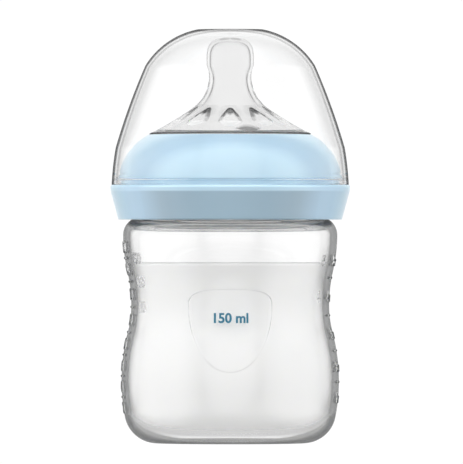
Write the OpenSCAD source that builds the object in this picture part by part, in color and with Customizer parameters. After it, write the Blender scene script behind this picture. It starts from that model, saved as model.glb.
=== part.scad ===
// Wide-neck glass baby bottle: glass body with milk, silicone teat, screw ring and dome cap.
// Millimetres. The origin is the centre of the base, +Z is up, and the flat pad faces -Y.

/* [Glass bottle] */
// Radius of the lower bulge, the widest part of the glass
bulge_r = 33.5; // [32.5:0.5:35]
// Height of the lower bulge
bulge_z = 19.2; // [17:0.2:22]
// Radius of the waist
waist_r = 30.5; // [29:0.5:31.5]
// Height of the waist
waist_z = 42.3; // [40:0.1:45]
// Radius of the shoulder
shoulder_r = 33; // [32.5:0.1:34]
// Height at which the shoulder starts to turn in
shoulder_z = 64.2; // [62:0.1:68]
// Radius of the rounded heel
heel_r = 10; // [8:0.5:12]
// Thickness of the glass wall
glass_wall = 2.1; // [1.6:0.1:2.6]
// Thickness of the glass base
base_t = 3.4; // [2.6:0.1:4.5]
// Depth of the push-up under the base
pushup_d = 0.8; // [0.4:0.1:1.2]
// Outer radius of the neck, without its thread
neck_r = 26.6; // [25.8:0.1:26.8]
// Thickness of the glass at the neck
neck_wall = 2.2; // [1.8:0.1:2.6]
// Height of the neck above the shoulder
neck_h = 20.8; // [20:0.1:23]
// Half width of the flat pad on the front
pad_half_w = 12.5; // [9:0.5:14]
// Height of the pad's widest line
pad_z = 42.6; // [40:0.1:44]
// How far the pad reaches up from its widest line
pad_up = 5; // [4:0.1:7]
// How far the pad reaches down from its widest line
pad_down = 20.4; // [16:0.1:22]
// How far the graduation marks stand out of the glass
mark_proud = 0.35; // [0.2:0.05:0.5]
// Height of the milk's surface
milk_level = 55.8; // [20:0.2:64]

/* [Screw thread] */
// Rise in one turn
thread_pitch = 6; // [5.2:0.1:6.4]
// Depth of the thread
thread_depth = 1.4; // [1.2:0.1:1.6]
// Turns of the thread on the neck
thread_turns = 1.25; // [1:0.05:1.5]
// Radial clearance between each crest and the opposite wall
thread_clear = 0.45; // [0.3:0.05:0.6]
// Axial clearance on the loaded flank
flank_clear = 0.25; // [0.15:0.05:0.4]

/* [Screw ring] */
// Width of the pocket between the threaded sleeve and the outer wall
pocket_w = 1.7; // [1.2:0.1:2.4]
// Height of the tapered band below the ledge
band_h = 10.7; // [10:0.1:12]
// Inset of the band's bottom edge
band_taper = 2.5; // [1.5:0.1:3]
// Wall thickness of the ring
ring_wall = 1.7; // [1.4:0.1:2]
// Width of the ledge outside the domed part
ledge_w = 2.5; // [2.3:0.1:3]
// How far the lip reaches in over the mouth of the neck
lip_reach = 0.8; // [0.4:0.1:1.6]
// Thickness of the lip round that hole
lip_t = 2.55; // [2.4:0.05:3]

/* [Teat] */
// Thickness of the flange that is clamped on the rim
flange_t = 1.9; // [1.5:0.1:2.3]
// Wall thickness of the teat
teat_wall = 1.6; // [1.3:0.1:1.8]
// Slope of the wide cone at its edge, in degrees
teat_slope = 25.5; // [24:0.5:27]
// Radius of the head of the nipple
head_r = 7.3; // [7.1:0.05:7.6]
// Radius of the nipple's neck
nipple_neck_r = 6.55; // [6.2:0.05:6.8]
// Radius of the flare between nipple and cone
flare_r = 12; // [11:0.1:13]
// Length of the nipple from its neck to its tip
nipple_h = 12.4; // [11.5:0.1:14]
// Number of soft petals moulded inside the cone
petals = 9; // [5:1:10]
// Depth of each petal
petal_depth = 0.7; // [0.4:0.1:0.9]
// Radius of the milk hole in the tip
milk_hole_r = 0.4; // [0.3:0.05:0.6]

/* [Dome cap] */
// Wall thickness of the cap
cap_wall = 1.3; // [1:0.1:1.6]
// Thickness of the flat top
cap_top_t = 1.5; // [1.2:0.1:2.5]
// Gap between the nipple and the flat top
cap_gap = 0.7; // [0.3:0.1:1.5]
// Radius at the crease above the long cone
cap_crease_r = 26.1; // [25:0.1:27]
// Drop from the flat top to that crease
cap_crease_drop = 11.1; // [10:0.1:12.5]
// Height of the near-vertical foot of the cap
cap_foot_h = 11.4; // [9:0.1:13]
// Clearance between the snap bead and the ring's edge
snap_clear = 0.15; // [0.1:0.05:0.3]

/* [Hidden] */
$fn = 96;
touch = 0.05;                       // air left between pieces that bear on each other

// -- Plane curves, as lists of [radius, height] --

// Points on an arc round centre c, from angle a to angle b, in n steps.
function arc(c, r, a, b, n) =
    [for (i = [0:n]) let (t = a + (b - a) * i / n) c + r * [cos(t), sin(t)]];
// The same list without its first point.
function tail(p) = [for (i = [1:len(p) - 1]) p[i]];
function flipped(p) = [for (i = [len(p) - 1:-1:0]) p[i]];
// Centre of the arc of radius r from p to q that bulges away from the axis.
function bulge_centre(p, q, r) =
    let (d = q - p, half = norm(d) / 2, n = [-d[1], d[0]] / norm(d))
    (p + q) / 2 + sqrt(r * r - half * half) * n;
function angle_of(v) = atan2(v[1], v[0]);
// Two tangent arcs from the widest point p up to the narrowest point q; share is q's part of the radii.
function neck_in(p, q, share, shift, n) =
    let (turn = 2 * atan((p[0] - q[0]) / (q[1] - p[1])),
         sum_r = (q[1] - p[1]) / sin(turn),
         rq = sum_r * share,
         rp = sum_r - rq)
    concat(arc([p[0] - rp, p[1]], rp - shift, 0, turn, n),
           tail(arc([q[0] + rq, q[1]], rq + shift, 180 + turn, 180, n)));
// The curve of neck_in upside down, from the narrowest point q up to the widest point p.
function neck_out(q, p, share, shift, n) =
    let (down = neck_in([p[0], -p[1]], [q[0], -q[1]], share, shift, n))
    [for (v = flipped(down)) [v[0], -v[1]]];
// Shifts an open line sideways by d, to its right, with mitred corners.
function shifted(p, d) = [for (i = [0:len(p) - 1])
    let (a = p[max(i - 1, 0)], b = p[min(i + 1, len(p) - 1)],
         u = i == 0 ? b - p[i] : p[i] - a, v = i == len(p) - 1 ? u : b - p[i],
         nu = [u[1], -u[0]] / norm(u), nv = [v[1], -v[0]] / norm(v))
    p[i] + d * (nu + nv) / (1 + nu * nv)];
// A quarter of a superellipse round the axis, from the axis down to its widest radius a.
function crown(a, b, z, power, n) =
    [for (i = [0:n]) let (t = 90 - 90 * i / n)
        [a * pow(cos(t), 2 / power), z + b * pow(sin(t), 2 / power)]];

// -- Glass bottle --

neck_fillet = 0.8;                  // where the neck leaves the shoulder
bead_up = 3;                        // height of the bead round the neck above the shoulder
bead_out = 1;                       // how far it stands out, and its half heights at the crest and root
bead_crest = 0.3;
bead_root = 0.8;
shoulder_edge = min(5.5, shoulder_r - neck_r - neck_fillet);
shoulder_top = shoulder_z + shoulder_edge;
rim_z = shoulder_top + neck_h;
neck_in_r = neck_r - neck_wall;
lower_arc = 58.5;                   // radius of the side below the bulge
inner_heel_r = heel_r - 2;
pushup_r = 18;
rim_round = 0.9;

// Side of the body above the heel, moved into the glass by shift; c_z is the height of the heel's centre
// and c_r the heel's radius.
function body_side(shift, c_z, c_r) =
    let (big = [bulge_r - lower_arc, bulge_z],
         reach = lower_arc - shift - c_r,
         heel = [big[0] + sqrt(reach * reach - pow(bulge_z - c_z, 2)), c_z],
         turn = asin((bulge_z - c_z) / reach))
    concat(arc(heel, c_r, -90, -turn, 10),
           tail(arc(big, lower_arc - shift, -turn, 0, 4)),
           tail(neck_in([bulge_r, bulge_z], [waist_r, waist_z], 0.34, shift, 5)),
           tail(neck_out([waist_r, waist_z], [shoulder_r, shoulder_z], 0.5, shift, 5)),
           tail(arc([shoulder_r - shoulder_edge, shoulder_z], shoulder_edge - shift, 0, 90, 9)));

outer_side = body_side(0, heel_r, heel_r);
outer_line = concat([[0, pushup_d], [pushup_r - 4, pushup_d * 0.6], [pushup_r, 0]], outer_side,
                    arc([neck_r + neck_fillet, shoulder_top + neck_fillet], neck_fillet, 270, 180, 4));
mouth_round = 2;                    // inner edge between shoulder and neck
// The hollow, with its wall moved inwards by gap.
function hollow(gap) =
    let (s = glass_wall + gap, floor_z = base_t + gap, top_z = shoulder_top - glass_wall)
    concat([[0, floor_z]],
           body_side(s, floor_z + inner_heel_r - gap, inner_heel_r - gap),
           arc([neck_in_r - gap + mouth_round, top_z - gap + mouth_round], mouth_round, 270, 180, 5));

// Volume in millilitres of the hollow up to point number i of its outline.
function cone_ml(a, b) = PI * (b[1] - a[1]) * (a[0] * a[0] + a[0] * b[0] + b[0] * b[0]) / 3000;
function level_of(ml, p, i = 1, sum = 0) =
    let (step = cone_ml(p[i - 1], p[i]))
    sum + step >= ml || i == len(p) - 1
        ? p[i - 1][1] + (p[i][1] - p[i - 1][1]) * (ml - sum) / step
        : level_of(ml, p, i + 1, sum + step);
hollow_line = hollow(0);
ounce_ml = 29.57;

// One raised bar across the side of the bottle: dir is 1 on the +X side and -1 on the -X side.
module bar(dir, z, long, thick) {
    reach = max(bulge_r, shoulder_r) + 2;
    translate([dir > 0 ? 0 : -reach, -long / 2, z - thick / 2])
        cube([reach, long, thick]);
}

// Millilitre bars on the left, ounce bars on the right, each at its true filling height.
module graduations() {
    intersection() {
        union() {
            for (ml = [20:10:160])
                bar(-1, level_of(ml, hollow_line), ml % 20 == 0 ? 7 : 4, 0.6);
            for (half = [2:10])
                bar(1, level_of(half * ounce_ml / 2, hollow_line), half % 2 == 0 ? 7 : 4, 0.6);
        }
        rotate_extrude() polygon(concat([[0, heel_r]], shifted(
            [for (v = outer_side) if (v[1] >= heel_r / 2 && v[1] <= shoulder_z) v], mark_proud),
            [[0, shoulder_z]]));
    }
}

// Outline of the pad: half an ellipse below its widest line, a squarer half above it.
function pad_outline() = concat(
    [for (t = [0:6:180]) let (c = cos(t))
        [pad_half_w * sign(c) * pow(abs(c), 2 / 3), pad_up * pow(sin(t), 2 / 3)]],
    [for (t = [186:6:354]) [pad_half_w * cos(t), pad_down * sin(t)]]);
pad_step = 0.5;                     // how far its top edge stands out of the glass
pad_top_r = lookup(pad_z + pad_up, [for (v = outer_side) [v[1], v[0]]]) + pad_step;
pad_foot_r = lookup(pad_z - pad_down, [for (v = outer_side) [v[1], v[0]]]) + touch;

module pad() {
    intersection() {
        translate([0, 0, pad_z]) rotate([90, 0, 0])
            linear_extrude(height = pad_foot_r + pad_top_r) polygon(pad_outline());
        translate([0, 0, pad_z - pad_down])
            cylinder(h = pad_up + pad_down, r1 = pad_foot_r, r2 = pad_top_r);
    }
}

// -- Screw thread --

thread_root_w = 3;                  // widths of the thread on the neck
thread_crest_w = 1.5;
nut_root_w = 2.4;                   // widths of the thread in the ring
nut_crest_w = 1.2;
nut_turns = 0.85;
crest_r = neck_r + thread_depth;
sleeve_r = crest_r + thread_clear;
nut_crest_r = neck_r + thread_clear;
rim_land = 4;                       // plain neck between the thread's upper end and the rim
thread_top = rim_z - rim_land;
thread_foot = thread_top - thread_pitch * thread_turns;
// The ring's thread hangs under the neck's, clear of it by flank_clear where the flanks are closest.
flank_rise = (thread_root_w - thread_crest_w) / 2 / thread_depth;
nut_drop = thread_root_w / 2 - flank_rise * thread_clear + nut_crest_w / 2 + flank_clear;
nut_start = 60;                     // angle at which the ring's thread starts

// A helical ridge with a trapezoid section, sunk in its wall and running out at both ends.
// wall_r is the wall's radius and tip_r the crest's; it is inside the wall when tip_r is smaller.
module ridge(wall_r, tip_r, foot_z, from, turns, root_w, crest_w) {
    n = ceil(turns * 40);
    out = sign(tip_r - wall_r);
    ring = [for (i = [0:n])
        let (a = from + 360 * turns * i / n,
             z = foot_z + thread_pitch * a / 360,
             run = min(1, min(i, n - i) / 2),
             sunk = wall_r - out * 0.6,
             tip = wall_r - out * 0.2 + run * (tip_r - wall_r + out * 0.2),
             w = root_w / 2 + 0.3)
        [[sunk, z - w], [tip, z - crest_w / 2], [tip, z + crest_w / 2], [sunk, z + w]] ];
    points = [for (i = [0:n]) let (a = from + 360 * turns * i / n)
        for (v = ring[i]) [v[0] * cos(a), v[0] * sin(a), v[1]]];
    sides = [for (i = [0:n - 1], k = [0:3])
        let (a = 4 * i + k, b = 4 * i + (k + 1) % 4) [a, b, b + 4, a + 4]];
    ends = [[3, 2, 1, 0], [4 * n, 4 * n + 1, 4 * n + 2, 4 * n + 3]];
    faces = concat(sides, ends);
    polyhedron(points, out > 0 ? faces : [for (f = faces) flipped(f)]);
}

module glass_bottle() {
    bead_z = shoulder_top + bead_up;
    color("aliceblue", 0.35)
    difference() {
        union() {
            rotate_extrude() polygon(concat(outer_line,
                [[neck_r, bead_z - bead_root], [neck_r + bead_out, bead_z - bead_crest],
                 [neck_r + bead_out, bead_z + bead_crest], [neck_r, bead_z + bead_root]],
                arc([neck_r - rim_round, rim_z - rim_round], rim_round, 0, 90, 6), [[0, rim_z]]));
            ridge(neck_r, crest_r, thread_foot, 0, thread_turns, thread_root_w, thread_crest_w);
            pad();
            graduations();
        }
        rotate_extrude() polygon(concat(hollow_line,
            flipped(arc([neck_in_r + rim_round, rim_z - rim_round], rim_round, 90, 180, 6)),
            [[neck_in_r + rim_round, rim_z + 1], [0, rim_z + 1]]));
    }
}

module milk() {
    color("white")
    intersection() {
        rotate_extrude() polygon(concat(hollow(touch), [[0, shoulder_top]]));
        cylinder(h = milk_level, r = max(bulge_r, shoulder_r));
    }
}

// -- Teat --

flange_z = rim_z + touch;
lip_z = flange_z + flange_t + touch;        // underside of the ring's lip
lip_top = lip_z + lip_t;
lip_r = neck_in_r - lip_reach;              // hole that the teat stands in
groove_r = lip_r - 0.3;                     // the teat where it passes the lip
skirt_r = lip_r + 1.3;                      // edge of the cone, over the lip
skirt_z = lip_top + touch;
skirt_edge = 0.25;
flange_r = min(neck_r + 0.6, sleeve_r - 0.5);
plug_r = neck_in_r - 0.3;                   // lip that seals inside the neck
// The cone is a shallow arc that starts at the skirt's edge and runs on into the flare of the nipple.
cone_arc = 90;
cone_centre = [skirt_r + cone_arc * sin(teat_slope), skirt_z + skirt_edge + cone_arc * cos(teat_slope)];
flare_z = cone_centre[1]
    - sqrt(pow(cone_arc - flare_r, 2) - pow(cone_centre[0] - nipple_neck_r - flare_r, 2));
flare_centre = [nipple_neck_r + flare_r, flare_z];
flare_turn = atan((cone_centre[0] - flare_centre[0]) / (cone_centre[1] - flare_z));
nipple_top = flare_z + nipple_h;
head_z = nipple_top - head_r;
head_power = 3;                             // how blunt the head is: 2 is round
tip_t = 1.2;                                // wall of the head
bore_r = nipple_neck_r - teat_wall;
bore_rise = 0.9;                            // straight wall below and above the widening of the bore

function teat_outside() = concat(
    crown(head_r, nipple_top - head_z, head_z, head_power, 14),
    tail(flipped(neck_out([nipple_neck_r, flare_z], [head_r, head_z], 0.5, 0, 5))),
    tail(arc(flare_centre, flare_r, 180, 270 - flare_turn, 7)),
    tail(arc(cone_centre, cone_arc, 270 - flare_turn, 270 - teat_slope, 6)));
cone_inner_r = groove_r - 2.1;
// Height of the cone's inner wall at radius r, and the same surface moved up by rise.
function cone_z(r, rise = 0) =
    cone_centre[1] - sqrt(pow(cone_arc + teat_wall - rise, 2) - pow(cone_centre[0] - r, 2));
cone_edge_turn = asin((cone_centre[0] - cone_inner_r) / (cone_arc + teat_wall));
function teat_inside() = concat(
    crown(head_r - tip_t, nipple_top - tip_t - head_z, head_z, head_power, 12),
    flipped(neck_out([bore_r, flare_z + bore_rise], [head_r - tip_t, head_z - bore_rise], 0.6, 0, 5)),
    arc(flare_centre, flare_r + teat_wall, 180, 270 - flare_turn, 7),
    tail(arc(cone_centre, cone_arc + teat_wall, 270 - flare_turn, 270 - cone_edge_turn, 6)));
// A band of silicone from the inner wall, rise thick, between two radii; reach goes on into the hollow.
module cone_band(r0, r1, from, to) {
    rotate_extrude() polygon(concat(
        [for (i = [0:6]) let (r = r0 + (r1 - r0) * i / 6) [r, cone_z(r, from)]],
        [for (i = [6:-1:0]) let (r = r0 + (r1 - r0) * i / 6) [r, cone_z(r, to)]]));
}

// Teardrop that lies along +X from its narrow end to its round one.
petal_tip_r = 1.2;
petal_round_r = 3.5;
petal_long = 4.5;                           // between the centres of its two ends
petal_to = cone_inner_r - 6;
petal_from = petal_to - petal_long;
function petal_outline() =
    let (lean = asin((petal_round_r - petal_tip_r) / (petal_to - petal_from)))
    concat(arc([petal_to, 0], petal_round_r, -90 - lean, 90 + lean, 16),
           arc([petal_from, 0], petal_tip_r, 90 + lean, 270 - lean, 8));

module petals() {
    for (i = [0:petals - 1])
        rotate([0, 0, -90 + 360 * i / petals])
        intersection() {
            translate([0, 0, lip_z]) linear_extrude(height = nipple_top - lip_z) polygon(petal_outline());
            cone_band(petal_from - 2 * petal_tip_r, petal_to + petal_round_r + 1, -2, petal_depth);
        }
}

// Air vent in the skirt: a lens-shaped pocket with a slit lip across it.
vent_angle = -70;
vent_half = 15;
vent_w = 3.8;
vent_edge = 1.5;                            // from the skirt's edge in to the pocket
vent_depth = 0.55;
module air_vent() {
    half_w = vent_w / 2;
    mid = skirt_r - vent_edge - half_w;
    rotate([0, 0, vent_angle]) intersection() {
        translate([0, 0, lip_z]) linear_extrude(height = nipple_top - lip_z) polygon(concat(
            [for (t = [-vent_half:3:vent_half])
                [cos(t), sin(t)] * (mid + half_w * cos(90 * t / vent_half))],
            [for (t = [vent_half - 3:-3:3 - vent_half])
                [cos(t), sin(t)] * (mid - half_w * cos(90 * t / vent_half))]));
        cone_band(mid - vent_w, mid + vent_w, teat_wall - vent_depth, 2 * teat_wall);
    }
}

module teat() {
    color("white", 0.5)
    difference() {
        rotate_extrude() polygon(concat(teat_outside(),
            [[skirt_r, skirt_z + skirt_edge], [skirt_r, skirt_z], [groove_r, skirt_z],
             [groove_r, flange_z + flange_t], [flange_r, flange_z + flange_t], [flange_r, flange_z],
             [plug_r, flange_z], [plug_r, flange_z - 1.6], [plug_r - 1.6, flange_z - 1.6],
             [cone_inner_r, flange_z + 1]],
            flipped(teat_inside())));
        petals();
        air_vent();
        translate([0, 0, head_z]) cylinder(h = head_r + tip_t, r = milk_hole_r);
    }
}

// -- Screw ring --

foot_drop = 0.8;                            // how far the band hangs past the top of the shoulder
ring_foot = shoulder_top - foot_drop;
ledge_z = ring_foot + band_h;
groove_h = 1.6;                             // recess that takes the cap's snap bead
groove_d = 0.9;
sleeve_out_r = sleeve_r + ring_wall;
sleeve_foot = shoulder_top + 0.7;
pocket_r = sleeve_out_r + pocket_w;
dome_edge_r = pocket_r + ring_wall + groove_d;
ring_r = dome_edge_r + ledge_w;             // ledge that carries the cap
dome_arc = 17.2;
lip_corner = 1.1;                           // broken corner inside the dome, so its wall stays even
foot_round = 0.5;                           // rounded foot of the band
dome_foot = [dome_edge_r, ledge_z + groove_h + 0.3];
dome_top = [lip_r + 1.4, lip_top];
dome_centre = bulge_centre(dome_foot, dome_top, dome_arc);

module screw_ring() {
    dome_in = dome_arc - ring_wall;
    a_foot = angle_of(dome_foot - dome_centre);
    a_top = angle_of(dome_top - dome_centre);
    a_pocket = acos((pocket_r - dome_centre[0]) / dome_in);
    a_sleeve = acos((sleeve_out_r - dome_centre[0]) / dome_in);
    foot_r = ring_r - band_taper;
    color("lightblue") {
        rotate_extrude() polygon(concat(
            [[foot_r - ring_wall, ring_foot]],
            arc([foot_r - foot_round, ring_foot + foot_round], foot_round, 270, 345, 4),
            [[ring_r - 0.15, ledge_z - 2], [ring_r, ledge_z - 0.5], [ring_r - 0.3, ledge_z],
             [dome_edge_r - groove_d, ledge_z], [dome_edge_r - groove_d, ledge_z + groove_h],
             [dome_edge_r, ledge_z + groove_h]],
            arc(dome_centre, dome_arc, a_foot, a_top, 12),
            [[lip_r + 0.4, lip_top], [lip_r, lip_top - 0.4], [lip_r, lip_z], [sleeve_r - lip_corner, lip_z],
             [sleeve_r, lip_z - lip_corner], [sleeve_r, sleeve_foot], [sleeve_out_r, sleeve_foot]],
            flipped(arc(dome_centre, dome_in, a_pocket, a_sleeve, 5)),
            [[pocket_r, ledge_z - ring_wall], [ring_r - ring_wall - 0.2, ledge_z - ring_wall]]));
        ridge(sleeve_r, nut_crest_r, thread_foot - nut_drop, nut_start, nut_turns, nut_root_w, nut_crest_w);
    }
}

// -- Dome cap --

cap_foot_z = ledge_z + touch;
cap_top = nipple_top + cap_gap + cap_top_t;
cap_inset = 0.4;                            // the cap's foot stands just inside the ledge's edge
cap_foot_r = ring_r - cap_inset;
cap_break = [cap_foot_r - cap_foot_h * 0.11, cap_foot_z + cap_foot_h];
cap_crease = [cap_crease_r, cap_top - cap_crease_drop];
cap_flat = [10, cap_top];
foot_arc = 90;                              // radii of the foot, the long cone and the crown
cone_side_arc = 200;
crown_arc = 24.5;
bead_h = groove_h - 0.3;                    // snap bead, with its edges broken by bead_edge
bead_edge = 0.3;
// The arc of radius r from p to q that bulges away from the axis.
function bulge(p, q, r, n) =
    let (c = bulge_centre(p, q, r)) arc(c, r, angle_of(p - c), angle_of(q - c), n);
cap_line = concat(
    bulge([cap_foot_r, cap_foot_z], cap_break, foot_arc, 4),
    tail(bulge(cap_break, cap_crease, cone_side_arc, 6)),
    tail(bulge(cap_crease, cap_flat, crown_arc, 12)),
    [[0, cap_top]]);

module dome_cap() {
    bead_r = dome_edge_r + snap_clear;
    inner = shifted(cap_line, -cap_wall);
    color("azure", 0.3)
    rotate_extrude() polygon(concat(cap_line,
        [for (v = flipped(inner)) [max(v[0], 0), min(v[1], cap_top - cap_top_t)]],
        [[inner[0][0], cap_foot_z + bead_h + 2 * bead_edge], [bead_r, cap_foot_z + bead_h],
         [bead_r, cap_foot_z + bead_edge], [bead_r + bead_edge, cap_foot_z]]));
}

glass_bottle();
milk();
teat();
screw_ring();
dome_cap();
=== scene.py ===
import math

import bpy
import numpy as np
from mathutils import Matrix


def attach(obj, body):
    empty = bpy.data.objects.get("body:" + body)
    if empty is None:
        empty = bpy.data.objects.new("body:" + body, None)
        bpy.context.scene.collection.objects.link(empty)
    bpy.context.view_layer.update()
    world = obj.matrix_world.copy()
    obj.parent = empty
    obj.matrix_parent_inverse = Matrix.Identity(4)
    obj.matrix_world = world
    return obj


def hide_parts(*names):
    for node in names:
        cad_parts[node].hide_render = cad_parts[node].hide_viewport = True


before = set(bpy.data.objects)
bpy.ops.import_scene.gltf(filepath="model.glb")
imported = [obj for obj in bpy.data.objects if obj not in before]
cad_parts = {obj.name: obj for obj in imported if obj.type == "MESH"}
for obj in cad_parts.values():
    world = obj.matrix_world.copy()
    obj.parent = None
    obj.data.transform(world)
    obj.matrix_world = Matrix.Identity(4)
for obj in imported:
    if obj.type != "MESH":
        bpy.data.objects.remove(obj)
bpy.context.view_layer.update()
print("frame loaded:", sorted(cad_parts))

mm = 0.001      # all profiles below are drawn in millimetres and made in metres


def arc(centre, radius, startDeg, endDeg, steps=24):
    turn = np.radians(np.linspace(startDeg, endDeg, steps + 1))
    return [(centre[0] + radius * math.cos(a), centre[1] + radius * math.sin(a)) for a in turn]


def bulgedArc(start, end, radius, steps=24):
    # an arc of that radius from start to end that bulges away from the axis
    p, q = np.array(start), np.array(end)
    way = q - p
    half = np.linalg.norm(way) / 2
    centre = (p + q) / 2 + math.sqrt(radius ** 2 - half ** 2) * np.array([-way[1], way[0]]) / (2 * half)
    a, b = (math.degrees(math.atan2(*(v - centre)[::-1])) for v in (p, q))
    return arc(centre, radius, a, b, steps)


def narrowing(wide, narrow, share, inset, steps=24):
    # two tangent arcs from the widest point up to the narrowest one
    turn = 2 * math.atan((wide[0] - narrow[0]) / (narrow[1] - wide[1]))
    total = (narrow[1] - wide[1]) / math.sin(turn)
    upper, lower = total * share, total * (1 - share)
    deg = math.degrees(turn)
    return (arc((wide[0] - lower, wide[1]), lower - inset, 0, deg, steps)
            + arc((narrow[0] + upper, narrow[1]), upper + inset, 180 + deg, 180, steps)[1:])


def widening(narrow, wide, share, inset, steps=24):
    # the same pair of arcs upside down
    down = narrowing((wide[0], -wide[1]), (narrow[0], -narrow[1]), share, inset, steps)
    return [(r, -z) for r, z in reversed(down)]


def offsetLine(line, distance):
    # moves an open outline sideways, to its right
    p = np.array(line, float)
    way = np.gradient(p, axis=0)
    side = np.stack([way[:, 1], -way[:, 0]], 1)
    side /= np.linalg.norm(side, axis=1, keepdims=True)
    return [tuple(v) for v in p + side * distance]


def spaced(line, step):
    # even points along an outline, both ends kept
    p = np.array(line, float)
    p = p[np.r_[True, np.linalg.norm(np.diff(p, axis=0), axis=1) > 1e-6]]
    along = np.r_[0, np.cumsum(np.linalg.norm(np.diff(p, axis=0), axis=1))]
    n = max(1, math.ceil(along[-1] / step))
    at = np.linspace(0, along[-1], n + 1)
    return np.stack([np.interp(at, along, p[:, 0]), np.interp(at, along, p[:, 1])], 1)


def rounded(corner, before, after, radius, steps=6):
    # a fillet at a corner between two neighbouring points of an outline
    c, a, b = (np.array(v, float) for v in (corner, before, after))
    u, v = (a - c) / np.linalg.norm(a - c), (b - c) / np.linalg.norm(b - c)
    half = math.acos(np.clip(u @ v, -1, 1)) / 2
    cut = min(radius / math.tan(half), 0.49 * np.linalg.norm(a - c), 0.49 * np.linalg.norm(b - c))
    radius = cut * math.tan(half)
    centre = c + (u + v) / np.linalg.norm(u + v) * radius / math.sin(half)
    p, q = c + u * cut, c + v * cut
    out = []
    for t in np.linspace(0, 1, steps + 1):
        w = (1 - t) * (p - centre) + t * (q - centre)
        out.append(tuple(centre + w / np.linalg.norm(w) * radius))
    return out


def softCorners(points, radius):
    # an open outline with every inner corner filleted
    out = [tuple(points[0])]
    for before, corner, after in zip(points, points[1:], points[2:]):
        out += rounded(corner, before, after, radius)
    return out + [tuple(points[-1])]


def smoothStep(low, high, value):
    t = np.clip((value - low) / (high - low), 0, 1)
    return t * t * (3 - 2 * t)


def newObject(name, points, faces, material, smooth=True):
    mesh = bpy.data.meshes.new(name)
    corners = np.concatenate([f.ravel() for f in faces])
    sizes = np.concatenate([np.full(len(f), f.shape[1]) for f in faces])
    mesh.vertices.add(len(points))
    mesh.vertices.foreach_set("co", (np.asarray(points) * mm).ravel())
    mesh.loops.add(len(corners))
    mesh.loops.foreach_set("vertex_index", corners)
    mesh.polygons.add(len(sizes))
    mesh.polygons.foreach_set("loop_start", np.r_[0, np.cumsum(sizes)[:-1]])
    mesh.polygons.foreach_set("loop_total", sizes)
    mesh.polygons.foreach_set("use_smooth", np.full(len(sizes), smooth))
    mesh.update(calc_edges=True)
    mesh.validate()
    mesh.materials.append(material)
    piece = bpy.data.objects.new(name, mesh)
    bpy.context.collection.objects.link(piece)
    return piece


def spin(name, outline, angles, material, relief=None, closed=False, mask=None):
    # turns an outline round the axis; relief pushes the surface out along its normal, and mask is kept
    # on the mesh for the material
    p = np.asarray(outline, float)
    if closed:
        way = np.roll(p, -1, 0) - np.roll(p, 1, 0)
    else:
        way = np.gradient(p, axis=0)
    normal = np.stack([way[:, 1], -way[:, 0]], 1)
    normal /= np.linalg.norm(normal, axis=1, keepdims=True) + 1e-12
    theta = np.radians(angles)[None, :]
    r, z = p[:, :1], p[:, 1:]
    push = relief(theta, r, z, normal) if relief else 0
    outR = r + push * normal[:, :1] + 0 * theta
    outZ = z + push * normal[:, 1:] + 0 * theta
    rows, cols = outR.shape
    points = np.stack([outR * np.cos(theta), outR * np.sin(theta), outZ], 2).reshape(-1, 3)
    index = np.arange(rows * cols).reshape(rows, cols)
    poles = [] if closed else [i for i in (0, rows - 1) if p[i, 0] < 1e-9]
    for i in poles:
        index[i] = index[i, 0]
    upper = np.roll(index, -1, 0) if closed else index[1:]
    lower = index if closed else index[:-1]
    quads = np.stack([lower, np.roll(lower, -1, 1), np.roll(upper, -1, 1), upper], 2)
    faces = []
    if poles:
        tris = []
        if 0 in poles:
            tris.append(quads[0][:, [0, 2, 3]])
            quads = quads[1:]
        if rows - 1 in poles:
            tris.append(quads[-1][:, [0, 1, 2]])
            quads = quads[:-1]
        faces.append(np.concatenate(tris))
    faces.append(quads.reshape(-1, 4))
    used, flat = np.unique(np.concatenate([f.ravel() for f in faces]), return_inverse=True)
    cut, out = 0, []
    for f in faces:
        out.append(flat[cut:cut + f.size].reshape(f.shape))
        cut += f.size
    piece = newObject(name, points[used], out, material)
    if mask:
        kept = piece.data.attributes.new("moulded", "FLOAT", "POINT")
        kept.data.foreach_set("value", mask(theta, r, z, normal).ravel()[used].astype(np.float32))
    return piece


def evenAngles(count):
    return np.arange(count) * 360 / count


def linear(hexColour, alpha=1.0):
    parts = [int(hexColour[i:i + 2], 16) / 255 for i in (1, 3, 5)]
    return [c / 12.92 if c <= 0.04045 else ((c + 0.055) / 1.055) ** 2.4 for c in parts] + [alpha]


def addNode(tree, kind, settings=None, links=None):
    # settings go to sockets by name or to the node's own properties; links name the socket they feed
    node = tree.nodes.new(kind)
    for key, value in (settings or {}).items():
        if isinstance(key, int) or key in node.inputs:
            node.inputs[key].default_value = value
        else:
            setattr(node, key, value)
    for key, source in (links or {}).items():
        tree.links.new(source, node.inputs[key])
    return node


def newMaterial(name):
    material = bpy.data.materials.new(name)
    material.use_nodes = True
    material.node_tree.nodes.clear()
    return material, material.node_tree


def rampNode(tree, source, stops, mode="EASE"):
    # a ramp of colours, or of plain numbers
    ramp = addNode(tree, "ShaderNodeValToRGB", links={"Fac": source})
    ramp.color_ramp.interpolation = mode
    while len(ramp.color_ramp.elements) < len(stops):
        ramp.color_ramp.elements.new(0.5)
    for element, (at, value) in zip(ramp.color_ramp.elements, stops):
        element.position = at
        element.color = linear(value) if isinstance(value, str) else (value, value, value, 1)
    return ramp


# how far in, counted in walls, painted relief still shows and light still refracts; how a level top and a
# slanted wall change the painted dark share; the colour of the painted highlight on relief; and what light
# that goes straight on keeps
wallShade = {"reliefDepth": 3.5, "caughtDepth": 4.5, "levelFrom": 0.985, "levelTo": 0.998, "levelShare": 0.87,
             "reliefFacing": 0.45, "reliefAslant": 1.35, "paintedHighlight": "#f4f5f5", "passed": 0.94}


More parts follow.
